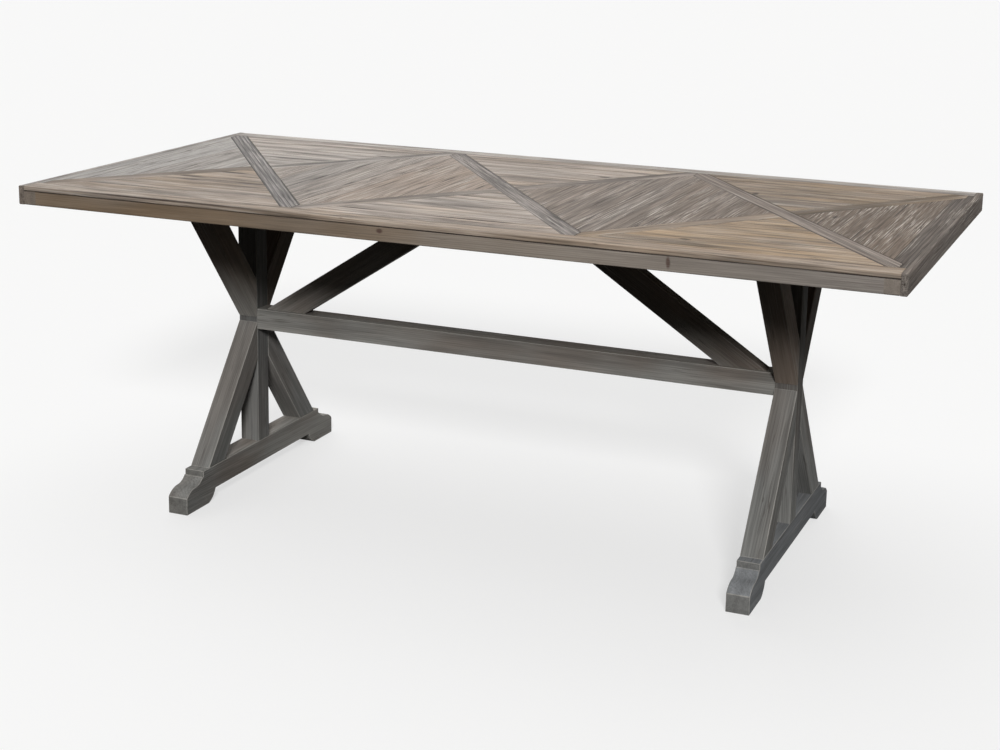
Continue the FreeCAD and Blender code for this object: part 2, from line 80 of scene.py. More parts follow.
# %% [markdown]
# ## The camera
#
# The table is seen from its front right, from a little below a standing eye. A fairly long lens
# keeps the two trestles nearly parallel. The camera is turned in three steps: round the upright axis,
# then down, then a touch of roll. A small downward shift puts the table in the middle of the frame
# without turning the camera any further.

# %% Camera
CAMERA_PLACE = (1.4949, -3.6152, 1.4520)  # in metres
CAMERA_YAW = math.radians(22.67)
CAMERA_DOWN = math.radians(12.79)
CAMERA_ROLL = math.radians(0.973)
CAMERA_LENS = 63.48  # in millimetres, for a frame of this width
FRAME_WIDTH = 36
DOWNWARD_SHIFT = 0.1  # as a share of the frame's width

camera = bpy.data.objects.new("camera", bpy.data.cameras.new("camera"))
bpy.context.scene.collection.objects.link(camera)
camera.data.sensor_width = FRAME_WIDTH
camera.data.lens = CAMERA_LENS
camera.data.shift_y = -DOWNWARD_SHIFT
camera.matrix_world = (
    Matrix.Translation(CAMERA_PLACE)
    @ Matrix.Rotation(CAMERA_YAW, 4, "Z")
    @ Matrix.Rotation(math.pi / 2 - CAMERA_DOWN, 4, "X")
    @ Matrix.Rotation(CAMERA_ROLL, 4, "Z")
)
bpy.context.scene.camera = camera
print("camera at", CAMERA_PLACE)

# %% [markdown]
# ## Colours and nodes
#
# Colours are written as they are seen on a screen, and a shader wants them linear, so one function
# turns them. Another adds any shader node with its inputs and its settings, and hands on one output:
# an input is either a plain value or the output of an earlier node. The same few settings come back
# again and again, so they have names.


# %% Colours and nodes
def linear(colour):
    """A screen colour such as "#8a7f72" as the linear colour a shader wants."""
    channels = [int(colour[at : at + 2], 16) / 255 for at in (1, 3, 5)]
    bent = [c / 12.92 if c <= 0.04045 else ((c + 0.055) / 1.055) ** 2.4 for c in channels]
    return (*bent, 1.0)


def add(tree, kind, inputs=(), output=0, **settings):
    """Adds one shader node with its settings and links, and returns one of its outputs."""
    node = tree.nodes.new("ShaderNode" + kind)
    for setting, value in settings.items():
        setattr(node, setting, value)
    sockets = inputs.items() if isinstance(inputs, dict) else enumerate(inputs)
    for socket, value in sockets:
        if isinstance(value, bpy.types.NodeSocket):
            tree.links.new(value, node.inputs[socket])
        else:
            node.inputs[socket].default_value = value
    return node.outputs[output] if node.outputs else None


def new_material(name):
    """An empty material and its node tree."""
    material = bpy.data.materials.new(name)
    material.use_nodes = True
    material.node_tree.nodes.clear()
    return material, material.node_tree


EASED = {"interpolation_type": "SMOOTHSTEP"}
TIMES = {"operation": "MULTIPLY"}
PLUS = {"operation": "ADD"}
MINUS = {"operation": "SUBTRACT"}
COLOUR = {"output": 2, "data_type": "RGBA"}  # a Mix node set to colours has these sockets:
SHARE, UNDER, OVER = 0, 6, 7
print("ready to add shader nodes")

# %% [markdown]
# ## Streaks and marks
#
# Nearly everything that shows in timber is drawn out along the grain: fibres, bands of colour, wax in
# the grooves and the checks where a board dried too fast. Noise that is stretched far more along the
# board than across it gives all of them, and only its size tells one from the other. Noise keeps mostly
# between 0.3 and 0.7, so the ranges that it is read with start and end in that span.
#
# Single knots and long checks are listed one by one. Each is a soft ellipsoid somewhere in the timber,
# and a little noise frays its outline.


# %% Streaks and marks
def streak(tree, grain, size, detail=2.0, roughness=0.5):
    """Noise drawn out into streaks of about this size in millimetres, as length and width."""
    scale = [1 / (side * MM) for side in (size[0], size[1], size[1])]
    stretched = add(tree, "Mapping", {"Vector": grain, "Scale": scale})
    noise = {"Vector": stretched, "Scale": 1.0, "Detail": detail, "Roughness": roughness}
    return add(tree, "TexNoise", noise)


TOP = cad_box[1][2] / MM
FRONT = cad_box[0][1] / MM
DEEP = 60  # a mark's half size into the wood
MARK_GRAIN = 18 * MM  # the size of the noise that frays a mark's outline
MARK_WANDER = 3 * MM  # how far it does so
MARK_CORE = 0.4  # the dark middle of a mark and its faded rim, as shares of its half sizes
MARK_RIM = 1.15


def dark_marks(tree, marks):
    """The darkness of knots and long checks, each with its centre and its half sizes in mm."""
    place = add(tree, "TexCoord", output="Object")
    noise = {"Vector": place, "Scale": 1 / MARK_GRAIN, "Detail": 2.0}
    ragged = add(tree, "TexNoise", noise, "Color")
    wander = (ragged, (MARK_WANDER, MARK_WANDER, 0), place)
    place = add(tree, "VectorMath", wander, operation="MULTIPLY_ADD")
    darkness = 0.0
    for centre, half_sizes in marks:
        offset = add(tree, "VectorMath", (place, [value * MM for value in centre]), **MINUS)
        sizes = [value * MM for value in half_sizes]
        scaled = add(tree, "VectorMath", (offset, sizes), operation="DIVIDE")
        reach = add(tree, "VectorMath", (scaled,), "Value", operation="LENGTH")
        mark = add(tree, "MapRange", (reach, MARK_CORE, MARK_RIM, 1.0, 0.0), **EASED)
        darkness = add(tree, "Math", (darkness, mark), operation="MAXIMUM")
    return darkness


print(f"the top lies {TOP:.0f} mm up, and its front edge {-FRONT:.0f} mm forward")

# %% [markdown]
# ## Wire-brushed pine
#
# The timber is plain pine that was stained grey, scrubbed with a wire brush and rubbed with lime wax.
# Brushing wears the soft early wood away between the hard late wood lines, the wax stays pale in the
# grooves, and old boards open in fine dark checks along the grain.
#
# The pattern is a solid one: it fills the board instead of lying on it, so the growth rings run along
# the faces and come out as arcs on the end grain, as they do on a real board. It reads the attribute
# "grain", the place in the board in metres as along, across and depth from the tree's pith. Five more
# attributes say how light and how warm a place is, and where it is an arris, end grain, dirty or
# painted with shade; in places the lightness and warmth carry painted shade and light as well.

# %% Wire-brushed pine
RING_STRETCH = 0.035  # rings wander along the board far more slowly than across it
WAVE_TURN = math.tau / 20  # a wave texture of scale 1 has its rings this far apart
SWING = 0.22  # how far streaks of full contrast lighten and darken the wood
BRUSHED_DEPTH = 0.8 * MM
LATE_RISE = 0.6  # how proud the late wood stands, and how deep checks go, beside the fibres
CHECK_DEPTH = 1.6


def brushed_pine(
    name,
    early,
    late,
    stain,
    silver_and_sheen="#a3a19e",
    lime="#cfc8bf",
    check="#3a312b",
    arris="#3b332d",
    end_grain="#847c74",
    ring_gap=4.2,
    ring_strength=0.8,
    band_size=(380, 9),
    wax_size=(120, 2.4),
    limed=0.5,
    stained=0.5,
    checked=0.6,
    check_size=(300, 7),
    check_cover=(0.5, 0.62),
    check_line=(0.004, 0.022),
    contrast=1.0,
    fine_contrast=1.0,
    arris_strength=0.7,
    roughness=0.7,
    gloss=0.15,
    relief=0.5,
    marks=(),
):
    """Pine, brushed, stained and limed. Sizes in millimetres, strengths from 0 to 1."""
    material, tree = new_material(name)
    grain = add(tree, "Attribute", output="Vector", attribute_name="grain")
    tone, warmth, edge, end, dirt_and_shade = [
        add(tree, "Attribute", output="Fac", attribute_name=attribute)
        for attribute in ("tone", "warmth", "arris", "end", "dirt_and_shade")
    ]

    # the patterns: growth rings, streaks of several sizes, and the places where wax and checks gather
    slow = add(tree, "Mapping", {"Vector": grain, "Scale": (RING_STRETCH, 1, 1)})
    waves = {"Vector": slow, "Scale": WAVE_TURN / (ring_gap * MM)}
    waves.update({"Distortion": 4.5, "Detail": 3.0, "Detail Scale": 0.25, "Detail Roughness": 0.55})
    saw_rings = {"wave_type": "RINGS", "rings_direction": "X", "wave_profile": "SAW"}
    rings = add(tree, "TexWave", waves, "Fac", **saw_rings)
    fibres = streak(tree, grain, (150, 2), 3.0, 0.6)
    bands = streak(tree, grain, band_size, 3.0, 0.6)
    wax = streak(tree, grain, wax_size, roughness=0.6)
    wax_place = streak(tree, grain, (330, 45))
    split = streak(tree, grain, check_size, 1.5)
    split_place = streak(tree, grain, (240, 38), 1.0)
    cloud = streak(tree, grain, (320, 110))

    # the timber's own colours, from early wood to end grain
    late_wood = add(tree, "MapRange", (rings, 0.35, 1.0, 0.0, ring_strength), **EASED)
    stain_share = add(tree, "MapRange", (cloud, 0.38, 0.66, 0.0, stained), **EASED)
    stain_share = add(tree, "Math", (stain_share, warmth), **PLUS)
    # a negative warmth blends towards silver grey; on the left and far side of the top this grey is
    # partly painted sheen
    silver_and_sheen_share = add(tree, "Math", (warmth, -1.0), **TIMES)
    end_share = add(tree, "Math", (end, 0.75), **TIMES)
    wood = linear(early)
    timber_layers = (
        (late_wood, late),
        (stain_share, stain),
        (silver_and_sheen_share, silver_and_sheen),
        (end_share, end_grain),
    )
    for share, colour in timber_layers:
        wood = add(tree, "Mix", {SHARE: share, UNDER: wood, OVER: linear(colour)}, **COLOUR)

    # broad and fine streaks of light and dark
    shade = tone
    for pattern, strength in ((bands, contrast), (fibres, fine_contrast)):
        swing = SWING * strength
        swung = add(tree, "MapRange", (pattern, 0.27, 0.73, 1 - swing, 1 + swing), **EASED)
        shade = add(tree, "Math", (shade, swung), **TIMES)
    shaded = {SHARE: 1.0, UNDER: wood, OVER: shade}
    wood = add(tree, "Mix", shaded, **COLOUR, blend_type="MULTIPLY")

    # what lies on the wood: wax, dark checks and marks, dirt and painted shade, and the wear of the
    # arrises
    wax_share = add(tree, "MapRange", (wax, 0.5, 0.68, 0.0, limed), **EASED)
    wax_place = add(tree, "MapRange", (wax_place, 0.4, 0.62, 0.0, 1.0), **EASED)
    wax_share = add(tree, "Math", (wax_share, wax_place), **TIMES)
    off_line = add(tree, "Math", (split, 0.5), **MINUS)
    off_line = add(tree, "Math", (off_line,), operation="ABSOLUTE")
    checks = add(tree, "MapRange", (off_line, *check_line, 1.0, 0.0), **EASED)
    split_place = add(tree, "MapRange", (split_place, *check_cover, 0.0, checked), **EASED)
    checks = add(tree, "Math", (checks, split_place), **TIMES)
    if marks:
        between_fibres = add(tree, "MapRange", (fibres, 0.36, 0.52, 0.65, 1.0), **EASED)
        spots = add(tree, "Math", (dark_marks(tree, marks), between_fibres), **TIMES)
        checks = add(tree, "Math", (checks, spots), operation="MAXIMUM")
    dirt_and_shade_place = add(tree, "MapRange", (split_place, 0.0, checked, 0.5, 0.75))
    dirt_and_shade_share = add(tree, "Math", (dirt_and_shade, dirt_and_shade_place), **TIMES)
    worn = add(tree, "MapRange", (bands, 0.3, 0.6, 0.45 * arris_strength, arris_strength), **EASED)
    worn = add(tree, "Math", (edge, worn), **TIMES)
    finish_layers = ((wax_share, lime), (checks, check), (dirt_and_shade_share, check), (worn, arris))
    for share, colour in finish_layers:
        wood = add(tree, "Mix", {SHARE: share, UNDER: wood, OVER: linear(colour)}, **COLOUR)

    # the relief that the brush left, and a gloss that is a little uneven
    height = add(tree, "Math", (late_wood, LATE_RISE, fibres), operation="MULTIPLY_ADD")
    height = add(tree, "Math", (checks, -CHECK_DEPTH, height), operation="MULTIPLY_ADD")
    bump = add(tree, "Bump", {"Strength": relief, "Distance": BRUSHED_DEPTH, "Height": height})
    rough = add(tree, "MapRange", (fibres, 0.3, 0.7, roughness + 0.1, roughness - 0.1), **EASED)
    surface = {"Base Color": wood, "Roughness": rough, "Normal": bump}
    surface.update({"IOR": 1.5, "Specular IOR Level": gloss})
    add(tree, "OutputMaterial", (add(tree, "BsdfPrincipled", surface),))
    return material


print("the recipe for brushed pine is ready")

# %% [markdown]
# ## The finishes
#
# All the timber is the same pine, but no two parts of the table weathered alike. The boards along the
# two long sides stayed warm, the boards that run across are greyer and full of lime, the bands are the
# greyest, and the trestles were stained dark. So one recipe makes a finish for each.

# %% Finishes of the top
LONG_BOARD_MARKS = (  # a knot, then checks and dirty patches
    ((517, 212, TOP), (9, 17, DEEP)),
    ((75, -363, TOP), (150, 7, DEEP)),
    ((-190, -359, TOP), (60, 5, DEEP)),
    ((-712, -185, TOP), (50, 8, DEEP)),
    ((-690, -219, TOP), (38, 5, DEEP)),
    ((-532, -209, TOP), (60, 6, DEEP)),
    ((-653, -98, TOP), (50, 8, DEEP)),
    ((-452, 288, TOP), (26, 6, DEEP)),
    ((141, 259, TOP), (22, 8, DEEP)),
    ((-632, 154, TOP), (95, 6, DEEP)),
    ((525, -351, TOP), (15, 7, DEEP)),
)
CROSS_BOARD_MARKS = (
    ((-443, -60, TOP), (5, 55, DEEP)),
    ((-430, 120, TOP), (2.6, 85, DEEP)),
    ((-170, 59, TOP), (3.2, 55, DEEP)),
    ((-347, -98, TOP), (3.4, 35, DEEP)),
    ((-64, -4, TOP), (3, 35, DEEP)),
    ((-812, 150, TOP), (3, 45, DEEP)),
    ((-792, -45, TOP), (2.6, 45, DEEP)),
    ((409, -188, TOP), (2.6, 75, DEEP)),
    ((286, 40, TOP), (2.6, 130, DEEP)),
    ((241, -45, TOP), (2.6, 110, DEEP)),
    ((852, 165, TOP), (2.6, 130, DEEP)),
    ((741, 17, TOP), (6, 20, DEEP)),
    ((820, -140, TOP), (2.6, 90, DEEP)),
)
FRONT_BORDER_MARKS = (((-610, FRONT, TOP), (365, 8, 4)),)  # dirt along its worn front arris

border_pine = brushed_pine(
    "limed_pine_border",
    early="#ada298",
    late="#83776b",
    stain="#9a8876",
    ring_strength=0.6,
    band_size=(240, 14),
    limed=0.45,
    stained=0.4,
    contrast=2.0,
    fine_contrast=1.3,
    end_grain="#84766a",
    marks=FRONT_BORDER_MARKS,
)
cracked_pine = brushed_pine(
    "cracked_grey_pine",
    early="#a0968f",
    late="#786f68",
    stain="#93857a",
    silver_and_sheen="#8f8f90",
    check="#2b2724",
    arris="#211d1a",
    band_size=(500, 6),
    wax_size=(300, 2.4),
    limed=0.5,
    stained=0.2,
    checked=0.4,
    contrast=2.2,
    fine_contrast=1.8,
    arris_strength=1.0,
)
warm_pine = brushed_pine(
    "warm_limed_pine",
    early="#b1a499",
    late="#8b7c6f",
    stain="#a08a70",
    ring_strength=0.6,
    band_size=(300, 26),
    limed=0.55,
    stained=0.5,
    checked=0.75,
    check_cover=(0.47, 0.6),
    check_line=(0.008, 0.036),
    contrast=2.4,
    fine_contrast=1.5,
    marks=LONG_BOARD_MARKS,
)
streaked_pine = brushed_pine(
    "streaked_limed_pine",
    early="#a3968b",
    late="#73685f",
    stain="#8e7c6c",
    lime="#cbc3b9",
    ring_strength=0.45,
    end_grain="#d0c5bb",
    band_size=(210, 4.5),
    wax_size=(150, 1.9),
    limed=0.85,
    stained=0.3,
    checked=0.9,
    check_size=(420, 5),
    check_line=(0.006, 0.03),
    contrast=1.6,
    fine_contrast=1.6,
    marks=CROSS_BOARD_MARKS,
)
for finish in (border_pine, cracked_pine, warm_pine, streaked_pine):
    print("finish of the top:", finish.name)

# %% Finishes below the top
LIPPING_MARKS = (  # a knot and a stain on the front edge
    ((-85, FRONT, 742), (9, DEEP, 6)),
    ((528, FRONT, 738), (5, DEEP, 14)),
)
lipping_pine = brushed_pine(
    "brushed_pine_lipping",
    early="#93887c",
    late="#72685d",
    stain="#7d6850",
    silver_and_sheen="#8b8886",
    ring_strength=0.4,
    band_size=(320, 22),
    limed=0.1,
    stained=0.4,
    checked=0.3,
    contrast=0.8,
    fine_contrast=0.5,
    check="#5a463e",
    # the dark arris colour paints the shadow in the groove between lipping and border, beside the real
    # rounded groove
    arris="#2b2420",
    end_grain="#8d847b",
    arris_strength=0.95,
    gloss=0.25,
    marks=LIPPING_MARKS,
)
base_pine = brushed_pine(
    "grey_stained_pine",
    early="#898884",
    late="#6a6a66",
    stain="#71665d",
    silver_and_sheen="#7f848b",
    lime="#b4b1ab",
    arris="#bab7b0",
    end_grain="#73726e",
    ring_strength=0.4,
    band_size=(240, 16),
    limed=0.2,
    stained=0.6,
    checked=0.4,
    contrast=0.8,
    fine_contrast=0.5,
    arris_strength=0.6,
    roughness=0.8,
    gloss=0.04,
)
rail_pine = brushed_pine(
    "sawn_grey_pine",
    early="#8a837b",
    late="#69625b",
    stain="#7d6f60",
    lime="#aaa49b",
    limed=0.1,
    stained=0.3,
    roughness=0.8,
    gloss=0.12,
    relief=0.8,
)
for finish in (lipping_pine, base_pine, rail_pine):
    print("finish below the top:", finish.name)

# %% [markdown]
# ## Hidden timber and screws
#
# The panel under the parquet is blockboard, seen only from below: staves glued side by side, each of
# its own shade. Beech tenons hide inside the joints and zinc-plated screws hold the rails. These
# pieces keep the shapes that they were drawn with, so their patterns read plain object coordinates.

# %% Blockboard, beech and zinc
STAVE_WIDTH = 55 * MM
STAVE_SHIFT = 9.0  # how far apart the patterns of two staves may lie, in metres
GLUE_LINE = 0.016  # as a share of a stave's width


def blockboard():
    """Edge-glued staves along the table, stained."""
    material, tree = new_material("stained_blockboard")
    place = add(tree, "TexCoord", output="Object")
    across = add(tree, "SeparateXYZ", (place,), "Y")
    row = add(tree, "Math", (across, STAVE_WIDTH), operation="DIVIDE")
    stave = add(tree, "Math", (row,), operation="FLOOR")
    own = add(tree, "TexWhiteNoise", {"W": stave}, "Value", noise_dimensions="1D")
    shift = add(tree, "Math", (own, STAVE_SHIFT), **TIMES)
    grain = add(tree, "VectorMath", (place, add(tree, "CombineXYZ", (shift,))), **PLUS)
    fibres = streak(tree, grain, (160, 2.2), 3.0, 0.6)
    bands = streak(tree, grain, (300, 12))
    pale, dark = linear("#9a8568"), linear("#77624a")
    band_share = add(tree, "MapRange", (bands, 0.3, 0.7, 0.0, 1.0), **EASED)
    wood = add(tree, "Mix", {SHARE: band_share, UNDER: pale, OVER: dark}, **COLOUR)
    own_shade = add(tree, "MapRange", (own, 0.0, 1.0, 0.8, 1.15))
    fine_shade = add(tree, "MapRange", (fibres, 0.3, 0.7, 0.85, 1.1), **EASED)
    shade = add(tree, "Math", (own_shade, fine_shade), **TIMES)
    shaded = {SHARE: 1.0, UNDER: wood, OVER: shade}
    wood = add(tree, "Mix", shaded, **COLOUR, blend_type="MULTIPLY")
    within = add(tree, "Math", (row,), operation="FRACT")
    from_far_side = add(tree, "Math", (1.0, within), **MINUS)
    near_joint = add(tree, "Math", (within, from_far_side), operation="MINIMUM")
    joint = add(tree, "MapRange", (near_joint, 0.0, GLUE_LINE, 0.8, 0.0), **EASED)
    wood = add(tree, "Mix", {SHARE: joint, UNDER: wood, OVER: linear("#3d3022")}, **COLOUR)
    bump = add(tree, "Bump", {"Strength": 0.3, "Distance": 0.5 * MM, "Height": fibres})
    rough = add(tree, "MapRange", (fibres, 0.3, 0.7, 0.85, 0.7), **EASED)
    surface = {"Base Color": wood, "Roughness": rough, "Normal": bump}
    add(tree, "OutputMaterial", (add(tree, "BsdfPrincipled", surface),))
    return material


def beech():
    """Bare steamed beech with its short pink flecks."""
    material, tree = new_material("bare_beech")
    flecks = streak(tree, add(tree, "TexCoord", output="Object"), (6, 1.2))
    share = add(tree, "MapRange", (flecks, 0.4, 0.7, 0.0, 1.0), **EASED)
    colours = {SHARE: share, UNDER: linear("#d8b48c"), OVER: linear("#b98c62")}
    wood = add(tree, "Mix", colours, **COLOUR)
    rough = add(tree, "MapRange", (flecks, 0.3, 0.7, 0.55, 0.65), **EASED)
    surface = {"Base Color": wood, "Roughness": rough}
    add(tree, "OutputMaterial", (add(tree, "BsdfPrincipled", surface),))
    return material


def zinc_plate():
    """Bright zinc on steel, with the soft blotches of the plating bath."""
    material, tree = new_material("zinc_plated_steel")
    place = add(tree, "TexCoord", output="Object")
    blotches = add(tree, "TexNoise", {"Vector": place, "Scale": 1 / (2 * MM), "Detail": 2.0})
    colours = {SHARE: blotches, UNDER: linear("#c3c4c2"), OVER: linear("#9fa19f")}
    metal = add(tree, "Mix", colours, **COLOUR)
    rough = add(tree, "MapRange", (blotches, 0.3, 0.7, 0.28, 0.45), **EASED)
    surface = {"Base Color": metal, "Roughness": rough, "Metallic": 1.0}
    add(tree, "OutputMaterial", (add(tree, "BsdfPrincipled", surface),))
    return material


HIDDEN = {"core_panel": blockboard(), "loose_tenons": beech(), "screws": zinc_plate()}
for node, finish in HIDDEN.items():
    for slot in nodes[node].material_slots:
        slot.material = finish
    print(node, "finished in", finish.name)

# %% [markdown]
# ## From drawn piece to worn timber
#
# A drawn piece comes as loose triangles with knife-sharp edges. Its copy is merged into whole faces,
# and its long edges are rounded as years of use round them. A bevel does both jobs of wear at once:
# it takes the corner off, and the faces that it makes are marked, so that the finish can show them
# rubbed. The short edges at a stick's ends mostly lie in its joints, and those stay sharp.

# %% Worn edges
SAME_PLACE = 0.001 * MM
FLAT_BELOW = math.radians(0.5)
SHARP_ABOVE = math.radians(30)
ANY_EDGE = 0.0  # the shortest worn edge, where a piece is worn all round


def merged(node):
    """A bmesh of a drawn piece with its triangles joined into whole faces."""
    bm = bmesh.new()
    bm.from_mesh(nodes[node].data)
    bmesh.ops.remove_doubles(bm, verts=bm.verts, dist=SAME_PLACE)
    bmesh.ops.dissolve_limit(
        bm, angle_limit=FLAT_BELOW, verts=bm.verts, edges=bm.edges, delimit=set()
    )
    return bm


def long_arrises(bm, shortest):
    """The sharp outer edges at least this long."""
    return [
        edge
        for edge in bm.edges
        if edge.calc_length() >= shortest
        and edge.is_convex
        and edge.calc_face_angle(0) > SHARP_ABOVE
    ]


def wear(bm, edges, width, strength=1.0):
    """Rounds edges over and marks the new faces as arris, more or less worn."""
    arris = bm.faces.layers.float.new("arris")
    made = bmesh.ops.bevel(
        bm,
        geom=edges,
        offset=width,
        offset_type="OFFSET",
        segments=2,
        profile=0.5,
        affect="EDGES",
        material=-1,
        clamp_overlap=False,
    )
    for face in made["faces"]:
        face[arris] = strength


print("ready to wear edges")

# %% [markdown]
# ## Grain, dirt and painted shade
#
# Each stick learns where its grain runs: always along its longest edge, as a joiner cuts it. The pith
# of the tree lies somewhere below the board, a little out of line with it, and that slant draws the
# long arches on a flat-sawn face. Every board gets its own place in the tree and its own small
# difference in colour, drawn at random from a fixed seed. Dirt gathers beside an edge or in a crack,
# and a soft painted shadow lies along one side of each half band; a board is cut into strips there
# to hold either.

# %% Grain, dirt and painted shade
CHANCE = random.Random(20)
PITH_DEPTH = (25 * MM, 75 * MM)  # how far the pith may lie below the middle of a board
PITH_SIDE = 40 * MM
PITH_SLANT = 0.02  # the pith's slope against the board
FAR_APART = 50.0  # keeps the patterns of two boards from ever meeting
OWN_TONE = (0.93, 1.07)  # how far boards from one tree still differ
OWN_WARMTH = (-0.15, 0.15)
STEEP = 0.5  # grain that rises more than this belongs to a standing stick
END_FACE = 0.8  # a face this square to the grain is end grain
RIGHT_AND_UP = Vector((1.0, 0.1, 1.0))


def longest_direction(bm):
    """The direction of a piece's longest edge."""
    edge = max(bm.edges, key=lambda candidate: candidate.calc_length())
    return (edge.verts[1].co - edge.verts[0].co).normalized()


def middle_of(bm):
    """The mean place of a piece's corners."""
    return sum((vert.co for vert in bm.verts), Vector()) / len(bm.verts)


def lay_grain(bm, along, tone=1.0, warmth=0.0):
    """Writes each point's place in the board, its shade and its warmth.

    A pair of tones or warmths runs from the board's left or lower end to its other end.
    """
    along = along if along.dot(RIGHT_AND_UP) > 0 else -along
    reference = Vector((1, 0, 0)) if abs(along.z) >= STEEP else Vector((0, 0, 1))
    across = reference.cross(along).normalized()
    depth = along.cross(across)
    middle = middle_of(bm)
    start = CHANCE.uniform(0, FAR_APART)
    side = CHANCE.uniform(-PITH_SIDE, PITH_SIDE)
    below = CHANCE.uniform(*PITH_DEPTH)
    slant = CHANCE.uniform(-PITH_SLANT, PITH_SLANT)
    own_tone = CHANCE.uniform(*OWN_TONE)
    own_warmth = CHANCE.uniform(*OWN_WARMTH)
    tone = tone if isinstance(tone, tuple) else (tone, tone)
    warmth = warmth if isinstance(warmth, tuple) else (warmth, warmth)
    first = min((vert.co - middle).dot(along) for vert in bm.verts)
    last = max((vert.co - middle).dot(along) for vert in bm.verts)
    grain = bm.verts.layers.float_vector.new("grain")
    tones = bm.verts.layers.float.new("tone")
    warmths = bm.verts.layers.float.new("warmth")
    ends = bm.faces.layers.float.new("end")
    bm.normal_update()
    for face in bm.faces:
        face[ends] = float(abs(face.normal.dot(along)) > END_FACE)
    for vert in bm.verts:
        place = vert.co - middle
        run = place.dot(along)
        share = (run - first) / (last - first)
        from_pith = place.dot(depth) + below + slant * run
        vert[grain] = (start + run, place.dot(across) + side, from_pith)
        vert[tones] = own_tone * (tone[0] + share * (tone[1] - tone[0]))
        vert[warmths] = own_warmth + warmth[0] + share * (warmth[1] - warmth[0])


def lay_dirt_and_shade(bm, outward, profile):
    """Darkens a strip beside the edge that lies outward, with dirt or painted shade, fading between a
    profile's distances.
    """
    reach = max(vert.co.dot(outward) for vert in bm.verts)
    for distance, _ in profile:
        everything = bm.verts[:] + bm.edges[:] + bm.faces[:]
        inner = outward * (reach - distance * MM)
        if distance > 0:
            bmesh.ops.bisect_plane(bm, geom=everything, plane_co=inner, plane_no=outward)
    dirt_and_shade = bm.verts.layers.float.new("dirt_and_shade")
    for vert in bm.verts:
        distance = (reach - vert.co.dot(outward)) / MM
        for (near, darkness_near), (far, darkness_far) in zip(profile, profile[1:]):
            if near <= distance <= far:
                share = (distance - near) / (far - near)
                vert[dirt_and_shade] = darkness_near + share * (darkness_far - darkness_near)


print("ready to lay grain and dirt")

# %% [markdown]
# ## The dressed piece
#
# A dressed piece takes the place of the drawn one, whose name it carries, and the drawn one is hidden.
# Nearly every stick goes through the same steps in the same order: merge, wear, darken a strip, lay the
# grain, finish.

# %% The dressed piece
SMOOTH_BELOW = math.radians(20)
LONG_EDGE = 45 * MM


def finished(bm, name, material, node):
    """Turns a bmesh into a piece that stands for a drawn node."""
    for face in bm.faces:
        face.smooth = True
    for edge in bm.edges:
        edge.smooth = edge.calc_face_angle(math.pi) < SMOOTH_BELOW
    mesh = bpy.data.meshes.new(name)
    bm.to_mesh(mesh)
    bm.free()
    mesh.materials.append(material)
    piece = bpy.data.objects.new(name, mesh)
    bpy.context.scene.collection.objects.link(piece)
    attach(piece, "root")
    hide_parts(node)


def worn_piece(
    node,
    material,
    slot,
    edge_width,
    shortest=LONG_EDGE,
    arrises=long_arrises,
    strength=1.0,
    dirt_and_shade=None,
    tone=1.0,
    warmth=0.0,
):
    """A drawn piece dressed as one stick of timber, with its arrises more or less worn."""
    bm = merged(node)
    along = longest_direction(bm)
    wear(bm, arrises(bm, shortest), edge_width, strength)
    if dirt_and_shade:
        lay_dirt_and_shade(bm, *dirt_and_shade)
    lay_grain(bm, along, tone, warmth)
    finished(bm, node + "_timber", material, node)


print("ready to dress timber")

# %% [markdown]
# ## Borders, end strips and spines
#
# Narrow boards frame the three parquet fields and stand between them. The bands' ends cut the spines
# to points and take a corner off the boards at the two ends. The planer left their joints open by a
# hair, and stain settles there, so their arrises are small and dark. Years of polish gathered dirt
# beside the back border, where it shows as a soft dark line, and beside the left end strip. The right
# border opened in four fine cracks.

# %% Borders and spines
JOINT_EDGE = 1.0 * MM
SHORT_EDGE = 30 * MM
CRACK_HALF = 2.2  # half the width of a dirty crack, in mm
CRACK_DIRT = 1.4


def crack_profile(cracks):
    """The dirt across a board with a thin dark line at each crack."""
    profile = []
    for crack in cracks:
        profile += [(crack - CRACK_HALF, 0.0), (crack, CRACK_DIRT), (crack + CRACK_HALF, 0.0)]
    return profile


# the way to the dirty side, then the dirt as distances from that side in mm and how much of it
BACK_DIRT = (Vector((0, -1, 0)), ((0.0, 0.9), (9.0, 0.0)))
LEFT_DIRT = (Vector((-1, 0, 0)), ((0.0, 0.7), (5.0, 0.7), (10.0, 0.0)))
RIGHT_CRACKS = (Vector((1, 0, 0)), crack_profile((3, 11, 18, 27)))
PALE_ARRIS = 0.3  # the end strips' arrises stayed pale
BORDERS = {  # a pair of tones or warmths runs from the left end to the right one
    "border_front": (border_pine, {"tone": (0.88, 1.0), "warmth": (0.3, 0.55)}),
    # the grey of the back and left borders is partly painted sheen
    "border_back": (border_pine, {"tone": (1.09, 0.95), "warmth": -0.55, "dirt_and_shade": BACK_DIRT}),
    "border_left": (streaked_pine, {"tone": 0.87, "warmth": -0.7, "dirt_and_shade": LEFT_DIRT}),
    "border_right": (streaked_pine, {"tone": 0.28, "warmth": 0.2, "dirt_and_shade": RIGHT_CRACKS}),
    "end_strip_left": (border_pine, {"tone": 0.75, "warmth": -0.5, "strength": PALE_ARRIS}),
    # the right end strip's low tone is painted shade for its end face, which turns away from the lamps
    "end_strip_right": (streaked_pine, {"tone": 0.4, "strength": PALE_ARRIS}),
}
# the right spine's lower tone is partly painted light, darker towards the table's right end
SPINE_TONES = {"spine_1": 0.92, "spine_2": 0.58}

for node, (finish, look) in BORDERS.items():
    worn_piece(node, finish, "border_boards", JOINT_EDGE, SHORT_EDGE, **look)
for node, tone in SPINE_TONES.items():
    worn_piece(node, streaked_pine, "inlay_bands", JOINT_EDGE, SHORT_EDGE, tone=tone)
print("borders:", len(BORDERS), "spines:", len(SPINE_TONES))
